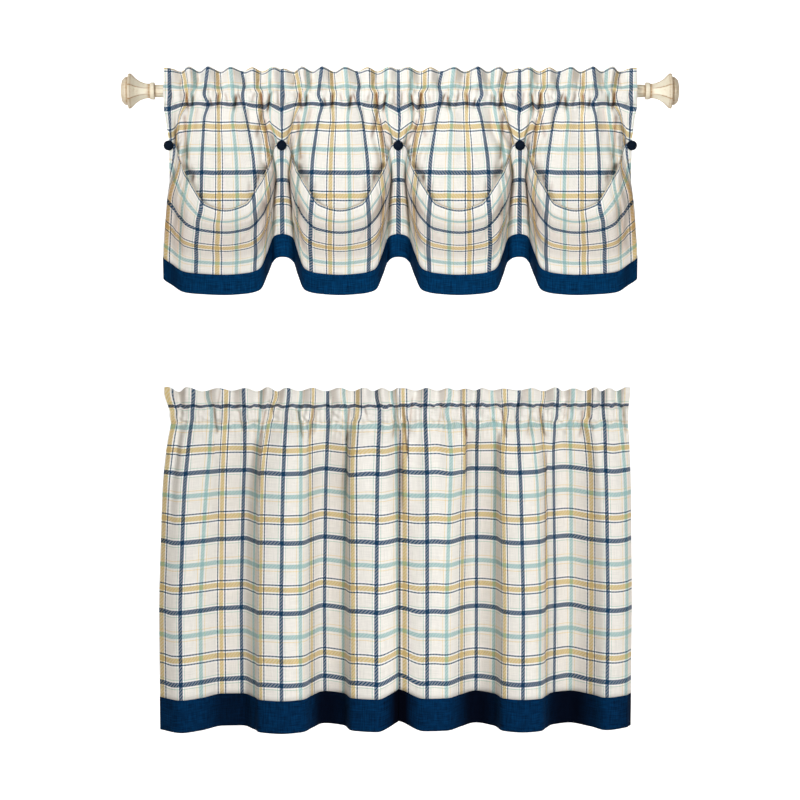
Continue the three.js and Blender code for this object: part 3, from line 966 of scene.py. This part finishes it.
def pleat_poufs(cloth, column, count=7, turn=0.6, depth=4, reach=34, clear=(9, 26), rows=(10.5, 12)):
    """Pleats that run to each button, from the first rows of the pouf down."""
    x, z = cloth.x - column["button_x"], cloth.z - BUTTON_Z
    away = np.hypot(x, z)
    pleat = np.cos(count * np.arctan2(z, np.abs(x)) + turn * np.sign(x))
    pleat *= np.exp(-away / reach) * smooth(*clear, away)
    cloth.y -= depth * pleat * smooth(*rows, cloth.place)[:, None] * ~below(cloth, "tuck end behind")


def bunch_sides(cloth, column, pitch=0.085, crumple=0.9, height=11, shift=0.05, at=(0.04, 0.1, 0.24, 0.33)):
    """Cloth drawn in beside the buttons stands in crumpled upright pleats, which open towards the band."""
    half = column["half"]
    crumpled = crumple * np.sin(cloth.z / height + shift * column["button_x"])
    pleat = window(at, half) * np.cos(TURN * half / pitch + crumpled)
    cloth.y += drape_values(cloth, "bunch") * pleat


def slacken_swags(
    cloth, column, down, depth=6, pitch=68, middle=426, at=(0.13, 0.34), rows=(360, 395, 490, 540)
):
    """Slack hangs in soft U folds across the swags."""
    slack = window(rows, down) * smooth(*at, column["half"]) * below(cloth, "edge")
    cloth.y += depth * slack * np.cos(TURN * (down - middle) / pitch)


def crease_drape(cloth, column):
    """Slanting folds on swags and poufs, with painted shade along them."""
    on_swag = below(cloth, "edge front") & ~column["at_end"]
    on_pouf = below(cloth, "pouf top") & ~below(cloth, "tuck end behind")
    from_button = np.abs(cloth.x - column["button_x"])
    for kind, creases, shown in (("swag", SWAG_CREASES, on_swag), ("pouf", POUF_CREASES, on_pouf)):
        for spot, *shape in zip(*creases.values()):
            cloth.crease(from_button - spot * column["bay_width"], CREASE_SHADE[kind], shown, *shape)


def shade_valleys(cloth, column, dark=0.45, at=0.135, width=0.022):
    """Painted shade in the valleys beside the flutes."""
    cloth.shade += dark * drape_values(cloth, "dark") * bell(column["half"] - at, width)


def shade_swags(cloth, column, down, dark=0.3, least=0.5, at=0.23, width=0.05, rows=(365, 420, 470, 525)):
    """Painted shade on the swags under their edge, most of it beside the flutes."""
    hollow = window(rows, down) * below(cloth, "edge")
    cloth.shade += dark * hollow * (least + bell(column["half"] - at, width))


def add_valance(materials, band_dark=0.5, band_at=0.19, band_width=0.06):
    column = valance_columns()
    cloth = Cloth(valance_rows(column), [*HEADING_STEPS, *VALANCE_DRAPE["steps"]])
    across = (cloth.x - column["outer_x"]) / (column["inner_x"] - column["outer_x"])
    section = VALANCE_HEADING["cut"]
    level = cloth.by_row([*section, section[-1] + POUF_TOP_DROP])
    down = valance_cut(cloth, column, across, level)
    # The flank of each ruffle turned from the light gets painted shade
    lean = np.gradient(cloth.y[cloth.fine_row(TOP_ROW)])
    flank = np.clip(lean / np.abs(lean).max(), 0, 1)
    phase = TURN * across * STITCH_TURNS
    cloth.gather("valance", CREASES, across, column["bay_width"], level, phase, flank)
    pleat_poufs(cloth, column)
    bunch_sides(cloth, column)
    slacken_swags(cloth, column, down)
    crease_drape(cloth, column)
    shade_valleys(cloth, column)
    shade_swags(cloth, column, down)
    cut_x = np.broadcast_to(column["repeats"] * PLAID_REPEAT, down.shape)
    cut = np.stack((cut_x, VALANCE_NAVY_CUT - down), axis=2)
    band = cloth.fine_row(VALANCE_ROW["band top"])
    # The band turns away at the sides of each swag, and shade is painted there
    turned = band_dark * bell(column["half"] - band_at, band_width)
    add_cloth("valance", ["valance_cloth"], cloth, cut, band, turned, materials)


# Tiers


def tier_rows(hung, fold_y, wave):
    """Main rows of a tier: its heading, then the rows of its drop."""
    heading_x = np.array([at_level(level, hung) for level in TIER_HEADING["level"]])
    rows = list(heading_rows(TIER_HEADING, heading_x, wave, TIER_TOP_Z))
    for drop, _, ruffle, level, fold, lead in zip(*TIER_DROP.values()):
        y = fold * fold_y + lead - ruffle * wave
        rows.append(np.stack((at_level(level, hung), y, np.full_like(y, TIER_TOP_Z - drop)), axis=1))
    return rows


def lap_tier(
    cloth, side, reach=32, edge=2, fade_in=60, fade_out=25,
    near=0.045, near_reach=3, far=0.0198, far_reach=14, under=(2, -1),
):
    """Laps some folds of a tier over their neighbours, with painted shade behind. Gives how far the plaid
    slips.
    """
    slips = np.zeros(cloth.x.shape)
    for x, slant, lead, slip, top, bottom in zip(*TIER_LAPS[side].values()):
        ahead = (cloth.x - x - slant * (cloth.z - top)) * np.sign(lead)
        shown = window((bottom, bottom + fade_in, top - fade_out, top), cloth.z)
        shown *= (cloth.place > SEAM_ROW)[:, None]
        lap = smooth(-edge, edge, ahead) * np.exp(-np.maximum(ahead, 0) / reach) * shown
        cloth.y -= abs(lead) * lap
        slips += slip * lap
        behind = np.maximum(-ahead, 0)
        dark = near * bell(behind, near_reach) + far * np.exp(-behind / far_reach)
        cloth.shade += abs(lead) * dark * smooth(*under, ahead) * shown
    return slips


def wiggle_stitching(cloth, side, down, phase, height=1.3, reach=7, rate=1.7, fine=0.4):
    """The upper stitching of a tier runs unevenly."""
    wiggle = np.sin(rate * phase + TIER_SEED[side]) + fine * sway(phase, *WIGGLE_SWAY)
    near = bell(down - TIER_HEADING["cut"][TIER_STITCH_ROW], reach) * cloth.in_front
    cloth.z += height * near * wiggle


def shade_recesses(cloth, fold_y, down, dark=0.1, back=(-30, 15), rows=(60, 200)):
    """Cloth that hangs back between the folds gets a little painted shade."""
    cloth.shade += dark * smooth(*back, fold_y) * smooth(*rows, down)


def turn_corner(cloth, down, from_inner, corner, lift=13, drop=(280, 600), dark=0.5, reach=5, rows=(80, 130)):
    """The corner where the tiers meet is drawn up and turns away, with painted shade along its inner edge."""
    cloth.z += lift * corner * smooth(*drop, TIER_TOP_Z - cloth.z)
    cloth.shade += dark * np.exp(-from_inner / reach) * smooth(*rows, down)


def tier_cut(cloth, side, thirds, down, phase, tuck=0.8, rate=0.61, reach=2, lifted=(240, 90)):
    """Place of a tier's points on its flat cut, drawn up and down along the stitching."""
    seed, section = TIER_SEED[side], TIER_HEADING["cut"]
    drop = down - section[TIER_STITCH_ROW]
    tucked = tuck * (1 + np.sin(rate * phase + seed)) * np.tanh(drop / reach)
    cut_y = drop + TIER_LIFT[side] * smooth(*lifted, down) + tucked
    for row, swing, _ in STITCHES["tier"]:
        near = bell(down - section[row], STITCH_REACH) * cloth.in_front
        cut_y += swing * near * sway(phase, *SWING_SWAY, seed)
    # A whole repeat keeps the cut on the side of the plaid that isn't mirrored
    return np.broadcast_to((thirds / 3 + 1) * PLAID_REPEAT, cut_y.shape), cut_y


def add_tier(
    side, materials, ruffle=(0.35, 1.4), corner_reach=44, band_dark=0.85, back=(-30, 25), corner_dark=1.1
):
    hang = TIER_HANG[side]
    thirds = np.linspace(hang["cut"][0], hang["cut"][-1], TIER_COLUMNS)
    places = np.stack([hang[name] for name in TIER_LEVELS], axis=1)
    # Stripes keep most of their width and the ground between them is drawn in
    hung = curve(hang["cut"], places, thirds, slope=hang["spread"][:, None])
    fold_y = curve(hang["cut"], hang["y"], thirds)
    number = np.arange(len(TIER_PEAKS[side]))
    phase = TURN * np.interp(hung[:, 0], TIER_PEAKS[side], number)
    heights = mix(*ruffle, uneven(number, TIER_SEED[side]))
    wave = np.interp(hung[:, 0], TIER_PEAKS[side], heights) * np.cos(phase)
    cloth = Cloth(tier_rows(hung, fold_y, wave), [*HEADING_STEPS, *TIER_DROP["steps"]])

    section = TIER_HEADING["cut"]
    drops = np.interp(TIER_DROP["drop"], *TIER_ROWS.values())
    main_cut = [*section, *(section[TIER_STITCH_ROW] + drops)]
    down = cloth.by_row(main_cut)
    inner_edge = -1 if side == "left" else 0
    from_inner = np.abs(hung[:, -1] - hung[inner_edge, -1])
    corner = smooth(corner_reach, 0, from_inner)
    slips = lap_tier(cloth, side)
    # The flank of each ruffle turned from the light gets painted shade
    flank = np.clip(-np.sin(phase), 0, 1)
    cloth.gather("tier", TIER_CREASES[side], cloth.x, 1, down, phase, flank)
    wiggle_stitching(cloth, side, down, phase)
    shade_recesses(cloth, fold_y, down)
    turn_corner(cloth, down, from_inner, corner)
    cut_x, cut_y = tier_cut(cloth, side, thirds, down, phase)
    cut = np.stack((cut_x, cut_y + slips), axis=2)
    # The band hangs between the last two main rows
    band = cloth.fine_row(len(main_cut) - 2)
    # Painted shade on the band where it hangs back, and at the corner where the tiers meet
    turned = band_dark * smooth(*back, fold_y) + corner_dark * corner
    nodes = [f"tier_{side}_heading", f"tier_{side}_cloth"]
    add_cloth(f"tier_{side}", nodes, cloth, cut, band, turned, materials)


# Rod, finials and buttons

# Outline of a finial along the rod's axis, and of a button as a share of its radius
FINIAL = table("along radius glaze", (
    (0, 14.6, 0.5),
    (0.8, 14.8, 0.1),
    (6.2, 14.8, 0.1),
    (7.2, 14.2, 0.4),
    (8.6, 12.8, 1.0),
    (10.5, 12.7, 0.6),
    (13.5, 13, 0.1),
    (17, 13.4, 0),
    (25, 16.4, 0),
    (33, 21.8, 0.05),
    (38.5, 27.6, 0.1),
    (40.5, 29.4, 0.5),
    (42, 30.4, 0.3),
    (43.5, 30.5, 0.35),
    (45, 29.3, 0.45),
    (45.8, 27, 0.8),
    (46.1, 24.4, 1.0),
    (47, 24.1, 0.7),
    (49.5, 24.2, 0.25),
    (51.5, 23.4, 0.4),
    (56, 18.5, 0.35),
    (57.8, 10, 0.3),
    (58.5, 0.2, 0.3),
))
FINIAL_PANELS = 8
FINIAL_RIDGE_LEAD = 1.07
FINIAL_TURN_STEPS = 96
FINIAL_RING_STEPS = 4
FINIAL_GAP = 0.3
ROD_LINES = 8
ROD_LINE_WIDTH = 0.07

BUTTON = table("radius height", (
    (0.3, 0), (0.8, 0), (0.97, 0.9), (1, 2.4), (0.88, 4.4), (0.56, 6), (0.25, 6.6), (0.01, 6.7),
))
BUTTON_BACK_Y = -36.5


def turn_angles(steps):
    return np.arange(steps) / steps * TURN


def revolve(along, radius):
    """Rings of points about +X, with radius given for each ring and step. Also gives the faces."""
    turns = turn_angles(radius.shape[1])
    along = np.broadcast_to(along, radius.shape)
    rings = np.stack((along, radius * np.cos(turns), radius * np.sin(turns)), axis=2)
    index = np.arange(radius.size).reshape(radius.shape)
    ahead = np.roll(index, -1, axis=1)
    corners = (index[:-1], ahead[:-1], ahead[1:], index[1:])
    faces = np.stack(corners, axis=2).reshape(-1, 4).tolist()
    return rings, [*faces, index[0, ::-1].tolist(), index[-1].tolist()]


def add_finial(side, name, material, facets=(6, 14, 44, 45.9), groove_reach=0.2, groove_depth=0.015):
    rows = np.arange(len(FINIAL["along"]))
    at = np.linspace(0, rows[-1], rows[-1] * FINIAL_RING_STEPS + 1)
    along, round_radius, glaze = (np.interp(at, rows, values)[:, None] for values in FINIAL.values())
    half_panel = np.pi / FINIAL_PANELS
    # Ridges lie half a panel off the axes, so that a panel faces the room
    from_ridge = np.abs(np.mod(turn_angles(FINIAL_TURN_STEPS), 2 * half_panel) - half_panel)
    flat = np.cos(half_panel) / np.cos(from_ridge - half_panel) * FINIAL_RIDGE_LEAD
    facet = window(facets, along)
    groove = facet * smooth(groove_reach, 0, from_ridge / half_panel)
    radius = round_radius * mix(1, flat, facet) * (1 - groove_depth * groove)
    rings, faces = revolve(along, radius)
    rings[:, :, 0] = side * (ROD_LENGTH / 2 + FINIAL_GAP + rings[:, :, 0])
    faces = faces if side > 0 else [face[::-1] for face in faces]
    shade = {"glaze": np.maximum(glaze, groove).ravel()}
    mesh_piece(f"{name}_turned", rings.reshape(-1, 3), faces, material, [name], shade)


def add_rod(material, shape=(141, 48), cap=0.5, taper=0.93, end_glaze=0.5, end_reach=12, line_glaze=0.55):
    """The pole, with narrowed ends and lines of glaze along it."""
    along = np.linspace(-ROD_LENGTH / 2, ROD_LENGTH / 2, shape[0])[:, None]
    from_end = ROD_LENGTH / 2 - np.abs(along)
    radius = ROD_RADIUS * np.where(from_end < cap, taper, 1.0)
    rings, faces = revolve(along, np.broadcast_to(radius, shape))
    pitch = TURN / ROD_LINES
    lines = bell(np.mod(turn_angles(shape[1]), pitch) - pitch / 2, ROD_LINE_WIDTH)
    ends = smooth(end_reach, 0, from_end)
    shade = {"glaze": np.maximum(end_glaze * ends, line_glaze * lines).ravel()}
    mesh_piece("rod_pole", rings.reshape(-1, 3), faces, material, ["rod"], shade)


def add_button(
    number, x, material, shape=(43, 64), pleats=16, depth=0.018, rim=(0.7, 0.97), below_top=(5, 3)
):
    """A covered button, with the cloth's small pleats round its rim."""
    rows = np.arange(len(BUTTON["radius"]))
    at = np.linspace(0, rows[-1], shape[0])
    share, height = (curve(rows, values, at)[:, None] for values in BUTTON.values())
    pleated = depth * smooth(*rim, share) * smooth(*below_top, height)
    radius = BUTTON_RADIUS * share * (1 + pleated * np.cos(pleats * turn_angles(shape[1])))
    rings, faces = revolve(height, radius)
    out, right, up = (rings[:, :, axis] for axis in range(3))
    points = np.stack((x + right, BUTTON_BACK_Y - out, BUTTON_Z + up), axis=2).reshape(-1, 3)
    name = f"button_{number}"
    mesh_piece(f"covered_{name}", points, faces, material, [name], {})


# Stage, light and camera

# Floor in metres
STAGE_HALF_WIDTH = 60.0
STAGE_STEPS = 61
STAGE_PROFILE = table("y z", (
    (-6, -1.9), (6, -1.9), (7.2, -1.7), (8.2, -1.0), (8.6, 0.4), (8.6, 6),
))


def add_stage():
    """A pale floor that sweeps up far behind the curtain and glows there."""
    rows = np.arange(len(STAGE_PROFILE["y"]))
    at = np.linspace(0, rows[-1], STAGE_STEPS)
    profile = [curve(rows, STAGE_PROFILE[key], at).tolist() for key in "yz"]
    points = [(x, y, z) for x in (-STAGE_HALF_WIDTH, STAGE_HALF_WIDTH) for y, z in zip(*profile)]
    faces = [(i, i + 1, STAGE_STEPS + i + 1, STAGE_STEPS + i) for i in range(STAGE_STEPS - 1)]
    nodes = Nodes("floor_paint")
    glow = nodes.range(nodes.split(nodes.spot())[1], span=(1.0, 2.4), to=(0.0, 0.8))
    nodes.set(nodes.shader.inputs["Emission Strength"], glow)
    white = linear("ffffff")
    paint = nodes.finish(white, roughness=0.9, Emission_Color=white, Specular_IOR_Level=0.0)
    new_object("floor", smooth_mesh("floor", points, faces, paint))


def add_light(name, place, target, size, power, spread):
    """A soft box aimed at a point. Its spread is in degrees."""
    data = bpy.data.lights.new(name, "AREA")
    data.shape = "SQUARE"
    data.size = size
    data.energy = power
    data.spread = math.radians(spread)
    data.color = linear("f6faff")[:3]
    light = new_object(name, data)
    light.location = place
    light.rotation_euler = (Vector(target) - Vector(place)).to_track_quat("-Z", "Y").to_euler()


def add_camera():
    data = bpy.data.cameras.new("camera")
    data.lens = CAMERA_LENS
    data.sensor_width = CAMERA_SENSOR
    camera = new_object("camera", data)
    tilt = math.radians(CAMERA_ELEVATION)
    back = Vector((0, -math.cos(tilt), math.sin(tilt)))
    camera.location = CAMERA_TARGET + back * CAMERA_DISTANCE
    camera.rotation_euler = (-back).to_track_quat("-Z", "Y").to_euler()
    bpy.context.scene.camera = camera


def add_studio():
    scene = bpy.context.scene
    scene.view_settings.view_transform = "Standard"
    world = bpy.data.worlds.new("studio")
    world.use_nodes = True
    background = world.node_tree.nodes["Background"]
    background.inputs["Color"].default_value = linear("fff6ea")
    background.inputs["Strength"].default_value = 0.25
    scene.world = world
    add_light("valance_key", (-2.4, -3.5, 0.75), (0, 0, 1.45), size=0.9, power=38.5, spread=51)
    add_light("tier_key", (1.6, -3.85, 0.1), (0, 0, -0.92), size=0.9, power=4.9, spread=32)
    add_light("front_fill", (0.1, -4.1, 1.0), (0, 0, -0.55), size=2.0, power=18, spread=120)


def main():
    add_camera()
    add_stage()
    add_studio()
    plaid = plaid_material()
    valance_band = band_material("valance_band_cloth", VALANCE_BAND_YARNS)
    # A darker copy of the band cloth: painted shade for the tiers
    tier_band = band_material("tier_band_cloth_in_shade", TIER_BAND_SHADED_YARNS)
    button_cloth = button_material()
    wood = wood_material()
    add_rod(wood)
    add_finial(-1, "finial_left", wood)
    add_finial(1, "finial_right", wood)
    add_valance((plaid, valance_band))
    for number, x in enumerate(BUTTON_X, 1):
        add_button(number, x, button_cloth)
    for side in TIER_HANG:
        add_tier(side, (plaid, tier_band))


main()
